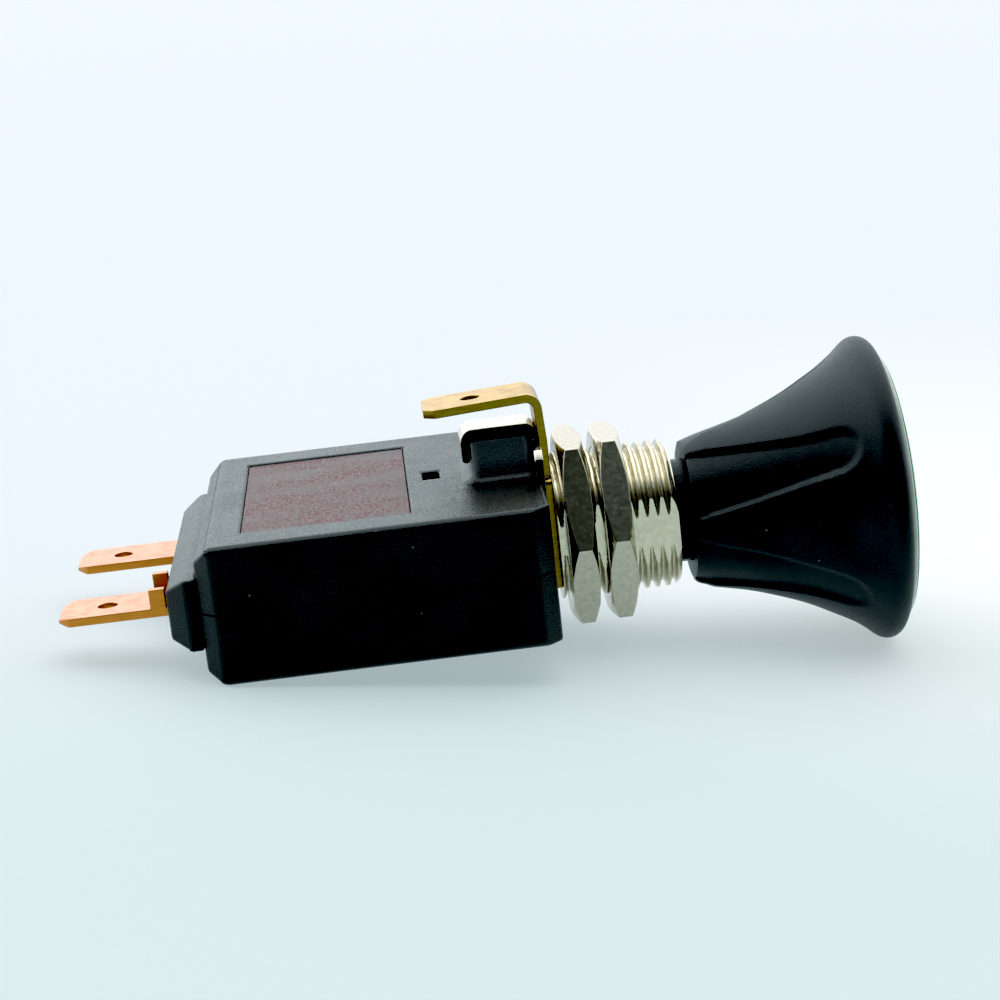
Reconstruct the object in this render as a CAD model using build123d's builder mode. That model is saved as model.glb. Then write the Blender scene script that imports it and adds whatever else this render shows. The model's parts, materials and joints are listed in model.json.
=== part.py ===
from build123d import *
import math
import os

# Illuminated push-pull switch, knob pushed in. Millimetres.
# X runs along the axis towards the knob, Z is up.
# The origin is on the axis, in the plane where the panel sits against the rear nut.

# ---- threaded bush and nuts
THREAD_R = 7.0
THREAD_ROOT_R = 6.39
PITCH = 1.0
CREST_FLAT = 0.14
ROOT_FLAT = 0.25
THREAD_GAP = 0.04
FIRST_CREST_X = -2.65
THREAD_END_CUT = 0.05
BUSH_REAR_X = -3.25
BUSH_FRONT_X = 8.0
BUSH_FLAT_Y = 6.25
BUSH_BORE_R = 4.97
BUSH_FLOOR_X = -2.6
NECK_R = 3.6
NECK_BORE_R = 2.47
NECK_END_X = -5.6
STAKE_R = 4.2
STAKE_CHAMFER = 0.3
NUT_ACROSS_FLATS = 17.0
NUT_THICK = 2.5
PANEL_GAP = 1.03
NUT_CHAMFER = 0.64
NUT_CORNER_GAP = 0.03
REAR_NUT_TURN = 1.4
FRONT_NUT_TURN = -1.5

# ---- housing shells
HOUSING_REAR_X = -36.2
HOUSING_FRONT_X = -4.5
HOUSING_HALF_W = 18.0
HOUSING_HALF_H = 6.35
SEAM_Z = 0.25
REAR_CORNER = 1.45
REAR_TOP_DROP = 1.4
REAR_BOTTOM_BEVEL = (1.6, 1.2)
FRONT_CORNER = 1.6
SIDE_EDGE_R = 0.8
SEAM_V = 0.12
WALL = 2.0
CAVITY_Z = 4.6
CAVITY_Y = 16.0
WINDOW_X = (-31.95, -16.7)
WINDOW_HALF_W = 13.4
WINDOW_DEPTH = 0.6
WINDOW_LEDGE = 1.5
FILM_THICK = 0.4
FILM_GAP = 0.02
FILM_CORNER = 0.4
VENT_X = -14.35
VENT_SIZE = (1.5, 3.1)
RAIL_X = (-31.5, -12.0)
RAIL_SIZE = (1.5, 5.0)

# ---- boss and plated strap
BOSS_REAR_X = -10.45
BOSS_FRONT_X = -4.95
BOSS_TOP_Z = 9.8
BOSS_TOP_HALF_W = 3.2
BOSS_BASE_HALF_W = 5.8
BOSS_CORNER_R = 0.6
BOSS_TOP_R = 0.45
BOSS_BASE_R = 1.2
STRAP_THICK = 0.8
STRAP_HALF_W = 2.2
STRAP_REAR_X = -11.3
STRAP_TOP_Z = 10.65
STRAP_HOOK_Z = 7.9
STRAP_BEND = 1.25
PLATE_FRONT_X = -4.05
PLATE_HALF_W = 7.4
PLATE_TOP_Z = 9.0
PLATE_CORNER = 0.8
PLATE_STEP_Z = -2.3
PLATE_FOOT_HALF_W = 4.2
PLATE_FOOT_Z = -5.0

# ---- tab terminals
TAB_W = 6.3
TAB_T = 0.8
TAB_HOLE_R = 0.9
TAB_CORNER = 1.0
TAB_HOLE_FROM_TIP = 4.3
TAB_TIP_BEVEL = (0.22, 0.8)
EARTH_HALF_W = 4.3
EARTH_TOP_Z = 5.5
EARTH_FOOT_Z = -5.1
EARTH_LEG_TOP_Z = 13.65
EARTH_TIP_X = -14.2
EARTH_LEAN = 3.2
EARTH_BEND_Z = 9.0
EARTH_BEND_R = (1.5, 0.7)
EARTH_FOOT_CORNER = 0.5
TERMINAL_Y = 9.0
TERMINAL_Z = -0.4
TERMINAL_TIP_X = -49.3
STRIP_FRONT_X = -11.0
NOTCH_X = (-27.5, -20.5)
NOTCH_Y = 9.9
EAR_X = (-40.9, -39.45)
EAR_TOP_Z = 1.75

# ---- rear terminal block
BLOCK_REAR_X = -39.15
BLOCK_HALF_W = 16.45
BLOCK_TOP_Z = 3.35
BLOCK_BOTTOM_Z = -3.25
BLOCK_CORNER = 1.82
BLOCK_TOP_DROP = 1.18
BLOCK_BOTTOM_BEVEL = (1.84, 0.87)
SPIGOT_HALF_W = 14.5
SPIGOT_TOP_Z = 2.6
SPIGOT_BOTTOM_Z = -2.5
SPIGOT_FRONT_X = -33.7
FIT_GAP = 0.05

# ---- moving stem, slider and contacts
TRAVEL = 8.0
STEM_R = 4.9
STEM_REAR_R = 2.4
STEM_BORE_R = 3.6
STEM_FRONT_X = 14.0
STEM_STEP_X = -2.5
STEM_POCKET_X = -1.6
STEM_REAR_X = -21.9
ROD_R = 0.9
ROD_BORE_R = 0.95
ROD_REAR_X = -22.4
CLIP_X = (-21.35, -20.8)
CLIP_R = 3.4
KEY_ANGLES = (48, 138, -132, -42)
KEY_X = 8.75
KEY_SIZE = (1.0, 0.6, 0.9)
GROOVE_DEPTH = 0.5
LEAF_SLOT_X = -0.3
LEAF_SLOT_SIZE = (2.8, 1.5)
SLIDER_FRONT_X = -14.6
SLIDER_REAR_X = -28.0
SLIDER_HALF_W = 5.0
SLIDER_HALF_H = 4.2
WING_HALF_W = 11.0
WING_X = (-27.5, -20.5)
WING_Z = (1.3, 4.2)
SLIDER_BORE_END_X = -22.3
SLIDER_GRIP_GAP = 0.03
SPRING_POCKET = (1.6, 2.4)
DETENT_POCKET_L = 2.6
BRIDGE_X = -24.0
BRIDGE_SIZE = (2.5, 19.0, 1.0)
BRIDGE_LIFT = 0.05
BRIDGE_SPRING_Y = 7.5
PAD_R = 1.0
PAD_H = 0.2
PIP_R = 0.6
PIP_H = 0.5
COIL_R = 1.2
COIL_PITCH = 0.62
COIL_HEIGHT = 1.9
COIL_WIRE_R = 0.12
DETENT_X = -26.3
BALL_R = 1.0
BALL_Z = -3.75
DETENT_COIL_R = 0.7
DETENT_PITCH = 0.36
DETENT_WIRE_R = 0.1

# ---- knob, lens and lamp
KNOB_REAR_X = 9.45
KNOB_FRONT_X = 28.35
KNOB_RIM_X = 27.15
KNOB_RIM_ROUND = 1.2
KNOB_BORE_R = 4.95
KNOB_REAR_EDGE = (0.35, 0.4)
KNOB_OUTER = ((25.9, 13.9), (24.9, 13.05), (22.6, 11.7), (20.0, 10.35), (16.6, 9.05),
              (13.5, 8.15), (10.7, 7.45))
KNOB_INNER = ((14.05, 4.95), (14.05, 5.2), (18.0, 6.2), (21.0, 7.6), (24.0, 9.5), (26.4, 11.3))
SEAT_X = (26.4, 27.2)
KNOB_RIM_R = 14.5
FLUTE_COUNT = 5
FLUTE_FIRST = 33.0
FLUTE_DEPTH = 0.5
FLUTE_END_DEPTH = 0.25
FLUTE_REAR_HALF_W = 3.5
FLUTE_HALF_W = ((15.2, 2.65), (19.6, 2.1), (22.6, 1.95))
LENS_R = 12.6
LENS_EDGE_X = 28.95
LENS_RISE = 1.65
LENS_WALL = 1.2
LENS_SKIRT_X = 26.7
RING_R = 13.0
RING_FRONT_X = 28.8
RING_CHAMFER = 0.15
LAMP_CAP_R = 3.5
LAMP_CAP_X = (-0.2, 8.6)
BULB_TIP_X = 21.5

os.makedirs("parts", exist_ok=True)


def save(part, label):
    """Name one sub-part and write its STEP file."""
    part.label = label
    export_step(part, f"parts/{label}.step")


def thread_outline(rear_x, front_x, crest, root, first_crest):
    """Ridge and groove points (x, r) of an annular thread, rear to front."""
    points = [(rear_x, root)]
    slope = (PITCH - CREST_FLAT - ROOT_FLAT) / 2
    crest_x = first_crest
    while crest_x - CREST_FLAT / 2 - slope < rear_x:
        crest_x += PITCH
    while crest_x + CREST_FLAT / 2 + slope < front_x:
        points.append((crest_x - CREST_FLAT / 2 - slope, root))
        points.append((crest_x - CREST_FLAT / 2, crest))
        points.append((crest_x + CREST_FLAT / 2, crest))
        points.append((crest_x + CREST_FLAT / 2 + slope, root))
        crest_x += PITCH
    points.append((front_x, root))
    return points


def nut_outline(rear_x, front_x):
    """Section (x, r) of a nut blank whose bore ridges sit in the bush grooves."""
    crest = THREAD_R + THREAD_GAP
    root = THREAD_ROOT_R + THREAD_GAP
    slope = (PITCH - CREST_FLAT - ROOT_FLAT) / 2
    half_foot = ROOT_FLAT / 2 + slope
    bore = [(rear_x, crest)]
    ridge_x = FIRST_CREST_X + PITCH / 2
    while ridge_x + half_foot < front_x:
        if ridge_x - half_foot > rear_x:
            bore += [
                (ridge_x - half_foot, crest),
                (ridge_x - ROOT_FLAT / 2, root),
                (ridge_x + ROOT_FLAT / 2, root),
                (ridge_x + half_foot, crest),
            ]
        ridge_x += PITCH
    corner_r = NUT_ACROSS_FLATS / math.sqrt(3) + NUT_CORNER_GAP
    rim = [
        (front_x, crest),
        (front_x, NUT_ACROSS_FLATS / 2),
        (front_x - NUT_CHAMFER, corner_r),
        (rear_x + NUT_CHAMFER, corner_r),
        (rear_x, NUT_ACROSS_FLATS / 2),
    ]
    return bore + rim


# ---- threaded bush, one flat on the -Y side
with BuildPart() as threaded_bush:
    with BuildSketch(Plane.XY):
        Polygon(
            (NECK_END_X, NECK_BORE_R),
            (BUSH_FLOOR_X, NECK_BORE_R),
            (BUSH_FLOOR_X, BUSH_BORE_R),
            (BUSH_FRONT_X, BUSH_BORE_R),
            (BUSH_FRONT_X, THREAD_ROOT_R),
            *reversed(thread_outline(
                BUSH_REAR_X, BUSH_FRONT_X - THREAD_END_CUT, THREAD_R, THREAD_ROOT_R, FIRST_CREST_X
            )),
            (BUSH_REAR_X, NECK_R),
            (PLATE_FRONT_X - STRAP_THICK, NECK_R),
            (PLATE_FRONT_X - STRAP_THICK, STAKE_R),
            (NECK_END_X + STAKE_CHAMFER, STAKE_R),
            (NECK_END_X, STAKE_R - STAKE_CHAMFER),
            align=None,
        )
    revolve(axis=Axis.X)
    with Locations(Location(((BUSH_REAR_X + BUSH_FRONT_X) / 2, -BUSH_FLAT_Y - 1, 0))):
        Box(BUSH_FRONT_X - BUSH_REAR_X, 2, 2 * THREAD_R, mode=Mode.SUBTRACT)
save(threaded_bush.part, "threaded_bush")

# ---- rear nut: its front face is the panel seat
with BuildPart() as rear_nut:
    with BuildSketch(Plane.XY):
        Polygon(*nut_outline(-NUT_THICK, 0), align=None)
    revolve(axis=Axis.X)
    with BuildSketch(Plane.YZ.offset(-NUT_THICK)):
        RegularPolygon(NUT_ACROSS_FLATS / 2, 6, major_radius=False, rotation=REAR_NUT_TURN)
    extrude(amount=NUT_THICK, mode=Mode.INTERSECT)
save(rear_nut.part, "rear_nut")

# ---- front nut
with BuildPart() as front_nut:
    with BuildSketch(Plane.XY):
        Polygon(*nut_outline(PANEL_GAP, PANEL_GAP + NUT_THICK), align=None)
    revolve(axis=Axis.X)
    with BuildSketch(Plane.YZ.offset(PANEL_GAP)):
        RegularPolygon(NUT_ACROSS_FLATS / 2, 6, major_radius=False, rotation=FRONT_NUT_TURN)
    extrude(amount=NUT_THICK, mode=Mode.INTERSECT)
save(front_nut.part, "front_nut")

# ---- earth tab: foot plate round the neck, leaning leg, blade towards the rear
with BuildPart() as earth_tab:
    with BuildSketch(Plane.YZ.offset(BUSH_REAR_X)):
        with Locations((0, (EARTH_TOP_Z + EARTH_FOOT_Z) / 2)):
            RectangleRounded(2 * EARTH_HALF_W, EARTH_TOP_Z - EARTH_FOOT_Z, EARTH_FOOT_CORNER)
        Circle(NECK_R + FIT_GAP, mode=Mode.SUBTRACT)
        with Locations((0, EARTH_TOP_Z - 1)):
            Rectangle(TAB_W, EARTH_BEND_Z - EARTH_TOP_Z + 1, align=(Align.CENTER, Align.MIN))
    extrude(amount=-TAB_T)
    lean_plane = Plane(
        origin=(BUSH_REAR_X, 0, EARTH_BEND_Z),
        x_dir=(math.cos(math.radians(EARTH_LEAN)), 0, math.sin(math.radians(EARTH_LEAN))),
        z_dir=(0, -1, 0),
    )
    leg_h = EARTH_LEG_TOP_Z - EARTH_BEND_Z
    blade_l = BUSH_REAR_X - EARTH_TIP_X
    with BuildSketch(lean_plane) as leg_side:
        Rectangle(TAB_T, leg_h, align=(Align.MAX, Align.MIN))
        with Locations((0, leg_h)):
            Rectangle(blade_l, TAB_T, align=(Align.MAX, Align.MAX))
        fillet(leg_side.vertices().sort_by_distance((0, leg_h)).first, radius=EARTH_BEND_R[0])
        fillet(leg_side.vertices().sort_by_distance((-TAB_T, leg_h - TAB_T)).first, radius=EARTH_BEND_R[1])
    extrude(amount=TAB_W / 2, both=True)
    tip_edges = earth_tab.edges().filter_by(Axis.Z, tolerance=5).group_by(Axis.X)[0]
    chamfer(tip_edges, length=TAB_CORNER)
    blade_top = Plane(
        origin=(EARTH_TIP_X + TAB_HOLE_FROM_TIP, 0, EARTH_LEG_TOP_Z),
        z_dir=lean_plane.y_dir,
    )
    with BuildSketch(blade_top):
        Circle(TAB_HOLE_R)
    extrude(amount=3, both=True, mode=Mode.SUBTRACT)
save(earth_tab.part, "earth_tab")

# ---- plated strap: front plate, arm over the boss and short hook behind it
with BuildPart() as strap_bracket:
    with BuildSketch(Plane.YZ.offset(PLATE_FRONT_X)):
        Polygon(
            (-PLATE_HALF_W, PLATE_STEP_Z),
            (-PLATE_FOOT_HALF_W, PLATE_STEP_Z),
            (-PLATE_FOOT_HALF_W, PLATE_FOOT_Z),
            (PLATE_FOOT_HALF_W, PLATE_FOOT_Z),
            (PLATE_FOOT_HALF_W, PLATE_STEP_Z),
            (PLATE_HALF_W, PLATE_STEP_Z),
            (PLATE_HALF_W, PLATE_TOP_Z - PLATE_CORNER),
            (PLATE_HALF_W - PLATE_CORNER, PLATE_TOP_Z),
            (-PLATE_HALF_W + PLATE_CORNER, PLATE_TOP_Z),
            (-PLATE_HALF_W, PLATE_TOP_Z - PLATE_CORNER),
            align=None,
        )
        Circle(NECK_R + FIT_GAP, mode=Mode.SUBTRACT)
    extrude(amount=-STRAP_THICK)
    with BuildSketch(Plane.XZ) as arm_side:
        with BuildLine():
            FilletPolyline(
                (PLATE_FRONT_X - STRAP_THICK / 2, PLATE_TOP_Z - 1),
                (PLATE_FRONT_X - STRAP_THICK / 2, STRAP_TOP_Z - STRAP_THICK / 2),
                (STRAP_REAR_X + STRAP_THICK / 2, STRAP_TOP_Z - STRAP_THICK / 2),
                (STRAP_REAR_X + STRAP_THICK / 2, STRAP_HOOK_Z),
                radius=STRAP_BEND - STRAP_THICK / 2,
            )
            offset(amount=STRAP_THICK / 2, side=Side.BOTH)
        make_face()
    extrude(amount=STRAP_HALF_W, both=True)
save(strap_bracket.part, "strap_bracket")

# ---- outer shape shared by the two housing shells
with BuildPart() as housing_envelope:
    with BuildSketch(Plane.XZ):
        Polygon(
            (HOUSING_FRONT_X, -HOUSING_HALF_H),
            (HOUSING_REAR_X + REAR_BOTTOM_BEVEL[0], -HOUSING_HALF_H),
            (HOUSING_REAR_X, -HOUSING_HALF_H + REAR_BOTTOM_BEVEL[1]),
            (HOUSING_REAR_X, HOUSING_HALF_H - REAR_TOP_DROP),
            (HOUSING_REAR_X + REAR_CORNER, HOUSING_HALF_H),
            (HOUSING_FRONT_X, HOUSING_HALF_H),
            align=None,
        )
    extrude(amount=HOUSING_HALF_W, both=True)
    with BuildSketch(Plane.XY.offset(-HOUSING_HALF_H)):
        Polygon(
            (HOUSING_REAR_X, -HOUSING_HALF_W + REAR_CORNER),
            (HOUSING_REAR_X + REAR_CORNER, -HOUSING_HALF_W),
            (HOUSING_FRONT_X - FRONT_CORNER, -HOUSING_HALF_W),
            (HOUSING_FRONT_X, -HOUSING_HALF_W + FRONT_CORNER),
            (HOUSING_FRONT_X, HOUSING_HALF_W - FRONT_CORNER),
            (HOUSING_FRONT_X - FRONT_CORNER, HOUSING_HALF_W),
            (HOUSING_REAR_X + REAR_CORNER, HOUSING_HALF_W),
            (HOUSING_REAR_X, HOUSING_HALF_W - REAR_CORNER),
            align=None,
        )
    extrude(amount=2 * HOUSING_HALF_H, mode=Mode.INTERSECT)
    side_edges = housing_envelope.edges().filter_by(Axis.X)
    fillet(side_edges, radius=SIDE_EDGE_R)

cavity_l = HOUSING_FRONT_X - HOUSING_REAR_X - 2 * WALL
cavity_mid_x = (HOUSING_FRONT_X + HOUSING_REAR_X) / 2

# ---- upper shell: boss, window recess, vent and pocket for the strap plate
with BuildPart() as housing_upper:
    add(housing_envelope.part)
    split(bisect_by=Plane.XY.offset(SEAM_Z), keep=Keep.TOP)
    chamfer(housing_upper.faces().sort_by(Axis.Z)[0].outer_wire().edges(), length=SEAM_V)
    with BuildSketch(Plane.YZ.offset(BOSS_REAR_X)):
        Polygon(
            (-BOSS_BASE_HALF_W, HOUSING_HALF_H - 0.5),
            (BOSS_BASE_HALF_W, HOUSING_HALF_H - 0.5),
            (BOSS_BASE_HALF_W, HOUSING_HALF_H),
            (BOSS_TOP_HALF_W, BOSS_TOP_Z),
            (-BOSS_TOP_HALF_W, BOSS_TOP_Z),
            (-BOSS_BASE_HALF_W, HOUSING_HALF_H),
            align=None,
        )
    extrude(amount=BOSS_FRONT_X - BOSS_REAR_X)
    boss_corners = housing_upper.edges().filter_by_position(
        Axis.Z, HOUSING_HALF_H + 0.5, BOSS_TOP_Z - 0.5
    )
    fillet(boss_corners, radius=BOSS_CORNER_R)
    top_rim = housing_upper.edges().filter_by_position(Axis.Z, BOSS_TOP_Z - 0.01, BOSS_TOP_Z + 0.01)
    fillet(top_rim, radius=BOSS_TOP_R)
    base_edges = housing_upper.edges().filter_by_position(
        Axis.Z, HOUSING_HALF_H - 0.01, HOUSING_HALF_H + 0.01
    ).filter_by_position(Axis.X, BOSS_REAR_X - 0.1, BOSS_FRONT_X - 0.05)
    base_edges = base_edges.filter_by_position(Axis.Y, -BOSS_BASE_HALF_W - 0.1, BOSS_BASE_HALF_W + 0.1)
    fillet(base_edges, radius=BOSS_BASE_R)
    with Locations((cavity_mid_x, 0, 0)):
        Box(cavity_l, 2 * CAVITY_Y, 2 * CAVITY_Z, mode=Mode.SUBTRACT)
    window_mid_x = sum(WINDOW_X) / 2
    window_l = WINDOW_X[1] - WINDOW_X[0]
    with Locations((window_mid_x, 0, HOUSING_HALF_H)):
        Box(window_l, 2 * WINDOW_HALF_W, 2 * WINDOW_DEPTH, mode=Mode.SUBTRACT)
    with Locations((window_mid_x, 0, HOUSING_HALF_H)):
        Box(window_l - 2 * WINDOW_LEDGE, 2 * (WINDOW_HALF_W - WINDOW_LEDGE), 5, mode=Mode.SUBTRACT)
    with Locations((VENT_X, 0, HOUSING_HALF_H)):
        Box(*VENT_SIZE, 5, mode=Mode.SUBTRACT)
    with Locations((PLATE_FRONT_X - STRAP_THICK, 0, 0)):
        Box(2, 2 * PLATE_HALF_W + 0.1, 30, align=(Align.MIN, Align.CENTER, Align.CENTER), mode=Mode.SUBTRACT)
    with Locations(Location((HOUSING_FRONT_X, 0, 0), (0, 90, 0))):
        Cylinder(STAKE_R + 0.1, 3 * WALL, mode=Mode.SUBTRACT)
    with Locations((HOUSING_REAR_X, 0, (SPIGOT_TOP_Z + SPIGOT_BOTTOM_Z) / 2)):
        Box(5, 2 * SPIGOT_HALF_W + 0.1, SPIGOT_TOP_Z - SPIGOT_BOTTOM_Z + 0.1, mode=Mode.SUBTRACT)
save(housing_upper.part, "housing_upper")

# ---- lower shell: strip rails and detent track
with BuildPart() as housing_lower:
    add(housing_envelope.part)
    split(bisect_by=Plane.XY.offset(SEAM_Z), keep=Keep.BOTTOM)
    chamfer(housing_lower.faces().sort_by(Axis.Z)[-1].outer_wire().edges(), length=SEAM_V)
    with Locations((cavity_mid_x, 0, 0)):
        Box(cavity_l, 2 * CAVITY_Y, 2 * CAVITY_Z, mode=Mode.SUBTRACT)
    rail_top = TERMINAL_Z - TAB_T / 2 - FIT_GAP
    rail_spots = [(x, y, -CAVITY_Z) for x in RAIL_X for y in (TERMINAL_Y, -TERMINAL_Y)]
    with Locations(*rail_spots):
        Box(*RAIL_SIZE, rail_top + CAVITY_Z, align=(Align.CENTER, Align.CENTER, Align.MIN))
    with Locations((PLATE_FRONT_X - STRAP_THICK, 0, 0)):
        Box(2, 2 * PLATE_HALF_W + 0.1, 2 * (-PLATE_FOOT_Z + 0.1),
            align=(Align.MIN, Align.CENTER, Align.CENTER), mode=Mode.SUBTRACT)
    with Locations(Location((HOUSING_FRONT_X, 0, 0), (0, 90, 0))):
        Cylinder(STAKE_R + 0.1, 3 * WALL, mode=Mode.SUBTRACT)
    with Locations((HOUSING_REAR_X, 0, (SPIGOT_TOP_Z + SPIGOT_BOTTOM_Z) / 2)):
        Box(5, 2 * SPIGOT_HALF_W + 0.1, SPIGOT_TOP_Z - SPIGOT_BOTTOM_Z + 0.1, mode=Mode.SUBTRACT)
    with Locations(Location((DETENT_X + TRAVEL / 2, 0, BALL_Z), (0, 90, 0))):
        Cylinder(BALL_R + 0.12, TRAVEL, mode=Mode.SUBTRACT)
    with Locations((DETENT_X, 0, BALL_Z), (DETENT_X + TRAVEL, 0, BALL_Z)):
        Sphere(BALL_R + 0.25, mode=Mode.SUBTRACT)
save(housing_lower.part, "housing_lower")

# ---- film that closes the window recess
with BuildPart() as window_film:
    film_z = HOUSING_HALF_H - WINDOW_DEPTH + FILM_GAP
    with Locations((window_mid_x, 0, film_z)):
        Box(window_l - 2 * FIT_GAP, 2 * (WINDOW_HALF_W - FIT_GAP), FILM_THICK,
            align=(Align.CENTER, Align.CENTER, Align.MIN))
    fillet(window_film.edges().filter_by(Axis.Z), radius=FILM_CORNER)
save(window_film.part, "window_film")

# ---- rear terminal block with bevelled outer step and slots for the blades
with BuildPart() as terminal_block:
    with BuildSketch(Plane.XZ):
        Polygon(
            (HOUSING_REAR_X, BLOCK_BOTTOM_Z),
            (BLOCK_REAR_X + BLOCK_BOTTOM_BEVEL[0], BLOCK_BOTTOM_Z),
            (BLOCK_REAR_X, BLOCK_BOTTOM_Z + BLOCK_BOTTOM_BEVEL[1]),
            (BLOCK_REAR_X, BLOCK_TOP_Z - BLOCK_TOP_DROP),
            (BLOCK_REAR_X + BLOCK_CORNER, BLOCK_TOP_Z),
            (HOUSING_REAR_X, BLOCK_TOP_Z),
            align=None,
        )
    extrude(amount=BLOCK_HALF_W, both=True)
    with BuildSketch(Plane.XY.offset(BLOCK_BOTTOM_Z)):
        Polygon(
            (HOUSING_REAR_X, BLOCK_HALF_W),
            (BLOCK_REAR_X + BLOCK_CORNER, BLOCK_HALF_W),
            (BLOCK_REAR_X, BLOCK_HALF_W - BLOCK_CORNER),
            (BLOCK_REAR_X, -BLOCK_HALF_W + BLOCK_CORNER),
            (BLOCK_REAR_X + BLOCK_CORNER, -BLOCK_HALF_W),
            (HOUSING_REAR_X, -BLOCK_HALF_W),
            align=None,
        )
    extrude(amount=BLOCK_TOP_Z - BLOCK_BOTTOM_Z, mode=Mode.INTERSECT)
    with Locations((HOUSING_REAR_X, 0, (SPIGOT_TOP_Z + SPIGOT_BOTTOM_Z) / 2)):
        Box(SPIGOT_FRONT_X - HOUSING_REAR_X, 2 * SPIGOT_HALF_W, SPIGOT_TOP_Z - SPIGOT_BOTTOM_Z,
            align=(Align.MIN, Align.CENTER, Align.CENTER))
    with Locations((BLOCK_REAR_X, TERMINAL_Y, TERMINAL_Z), (BLOCK_REAR_X, -TERMINAL_Y, TERMINAL_Z)):
        Box(20, TAB_W + 2 * FIT_GAP, TAB_T + 2 * FIT_GAP, mode=Mode.SUBTRACT)
save(terminal_block.part, "terminal_block")

strip_l = STRIP_FRONT_X - TERMINAL_TIP_X

# ---- near blade terminal: full-width contact strip and two upturned ears
with BuildPart() as near_terminal:
    with Locations((TERMINAL_TIP_X, -TERMINAL_Y, TERMINAL_Z)):
        Box(strip_l, TAB_W, TAB_T, align=(Align.MIN, Align.CENTER, Align.CENTER))
    tip_corners = near_terminal.edges().filter_by(Axis.Z).group_by(Axis.X)[0]
    chamfer(tip_corners, length=TAB_CORNER)
    tip_face = near_terminal.faces().sort_by(Axis.X)[0]
    chamfer(tip_face.edges().filter_by(Axis.Y), length=TAB_TIP_BEVEL[0], length2=TAB_TIP_BEVEL[1], reference=tip_face)
    with Locations((TERMINAL_TIP_X + TAB_HOLE_FROM_TIP, -TERMINAL_Y, TERMINAL_Z)):
        Cylinder(TAB_HOLE_R, 4, mode=Mode.SUBTRACT)
    ear_base = TERMINAL_Z + TAB_T / 2
    for side in (-1, 1):
        with Locations((sum(EAR_X) / 2, -TERMINAL_Y + side * (TAB_W - TAB_T) / 2, ear_base)):
            Box(EAR_X[1] - EAR_X[0], TAB_T, EAR_TOP_Z - ear_base,
                align=(Align.CENTER, Align.CENTER, Align.MIN))
save(near_terminal.part, "near_terminal")

# ---- far blade terminal: its strip is narrow where the bridge rests when pushed in
with BuildPart() as far_terminal:
    with Locations((TERMINAL_TIP_X, TERMINAL_Y, TERMINAL_Z)):
        Box(strip_l, TAB_W, TAB_T, align=(Align.MIN, Align.CENTER, Align.CENTER))
    tip_corners = far_terminal.edges().filter_by(Axis.Z).group_by(Axis.X)[0]
    chamfer(tip_corners, length=TAB_CORNER)
    tip_face = far_terminal.faces().sort_by(Axis.X)[0]
    chamfer(tip_face.edges().filter_by(Axis.Y), length=TAB_TIP_BEVEL[0], length2=TAB_TIP_BEVEL[1], reference=tip_face)
    with Locations((TERMINAL_TIP_X + TAB_HOLE_FROM_TIP, TERMINAL_Y, TERMINAL_Z)):
        Cylinder(TAB_HOLE_R, 4, mode=Mode.SUBTRACT)
    with Locations((sum(NOTCH_X) / 2, NOTCH_Y, TERMINAL_Z)):
        Box(NOTCH_X[1] - NOTCH_X[0], 2 * TAB_W, 2 * TAB_T,
            align=(Align.CENTER, Align.MAX, Align.CENTER), mode=Mode.SUBTRACT)
save(far_terminal.part, "far_terminal")

# ---- stem: lamp pocket in front, long rear rod, clip groove, four keys behind the knob
with BuildPart() as stem:
    with BuildSketch(Plane.XY):
        Polygon(
            (STEM_REAR_X, ROD_BORE_R),
            (STEM_REAR_X, STEM_REAR_R),
            (CLIP_X[0] - FIT_GAP, STEM_REAR_R),
            (CLIP_X[0] - FIT_GAP, STEM_REAR_R - GROOVE_DEPTH),
            (CLIP_X[1] + FIT_GAP, STEM_REAR_R - GROOVE_DEPTH),
            (CLIP_X[1] + FIT_GAP, STEM_REAR_R),
            (STEM_STEP_X, STEM_REAR_R),
            (STEM_STEP_X, STEM_R),
            (STEM_FRONT_X, STEM_R),
            (STEM_FRONT_X, STEM_BORE_R),
            (STEM_POCKET_X, STEM_BORE_R),
            (STEM_POCKET_X, ROD_BORE_R),
            align=None,
        )
    revolve(axis=Axis.X)
    for angle in KEY_ANGLES:
        turn = math.radians(angle)
        key_r = STEM_R + FIT_GAP
        key_spot = (KEY_X, -key_r * math.cos(turn), key_r * math.sin(turn))
        with Locations(Location(key_spot, (-angle, 0, 0))):
            Box(*KEY_SIZE)
    with Locations((LEAF_SLOT_X, 0, STEM_R)):
        Box(*LEAF_SLOT_SIZE, 4, mode=Mode.SUBTRACT)
save(stem.part, "stem")

# ---- sprung earth leaf between the lamp cap and the bush bore
with BuildPart() as earth_leaf:
    with BuildSketch(Plane.XZ):
        with BuildLine():
            FilletPolyline(
                (-1.55, 3.9), (-0.9, 4.7), (0.1, 4.7), (0.95, 3.68),
                radius=0.3,
            )
            offset(amount=0.08, side=Side.BOTH)
        make_face()
    extrude(amount=0.6, both=True)
save(earth_leaf.part, "earth_leaf")

# ---- lamp: metal cap with solder pip, glass bulb
with BuildPart() as lamp_cap:
    with BuildSketch(Plane.XY):
        Polygon(
            (LAMP_CAP_X[0] - 0.7, 0), (LAMP_CAP_X[0] - 0.7, 0.6), (LAMP_CAP_X[0] - 0.4, 1.1),
            (LAMP_CAP_X[0], 1.2), (LAMP_CAP_X[0], 3.2), (LAMP_CAP_X[0] + 0.3, LAMP_CAP_R),
            (LAMP_CAP_X[1], LAMP_CAP_R), (LAMP_CAP_X[1], 3.0), (LAMP_CAP_X[0] + 1.5, 3.0),
            (LAMP_CAP_X[0] + 1.5, 0),
            align=None,
        )
    revolve(axis=Axis.X)
save(lamp_cap.part, "lamp_cap")

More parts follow.
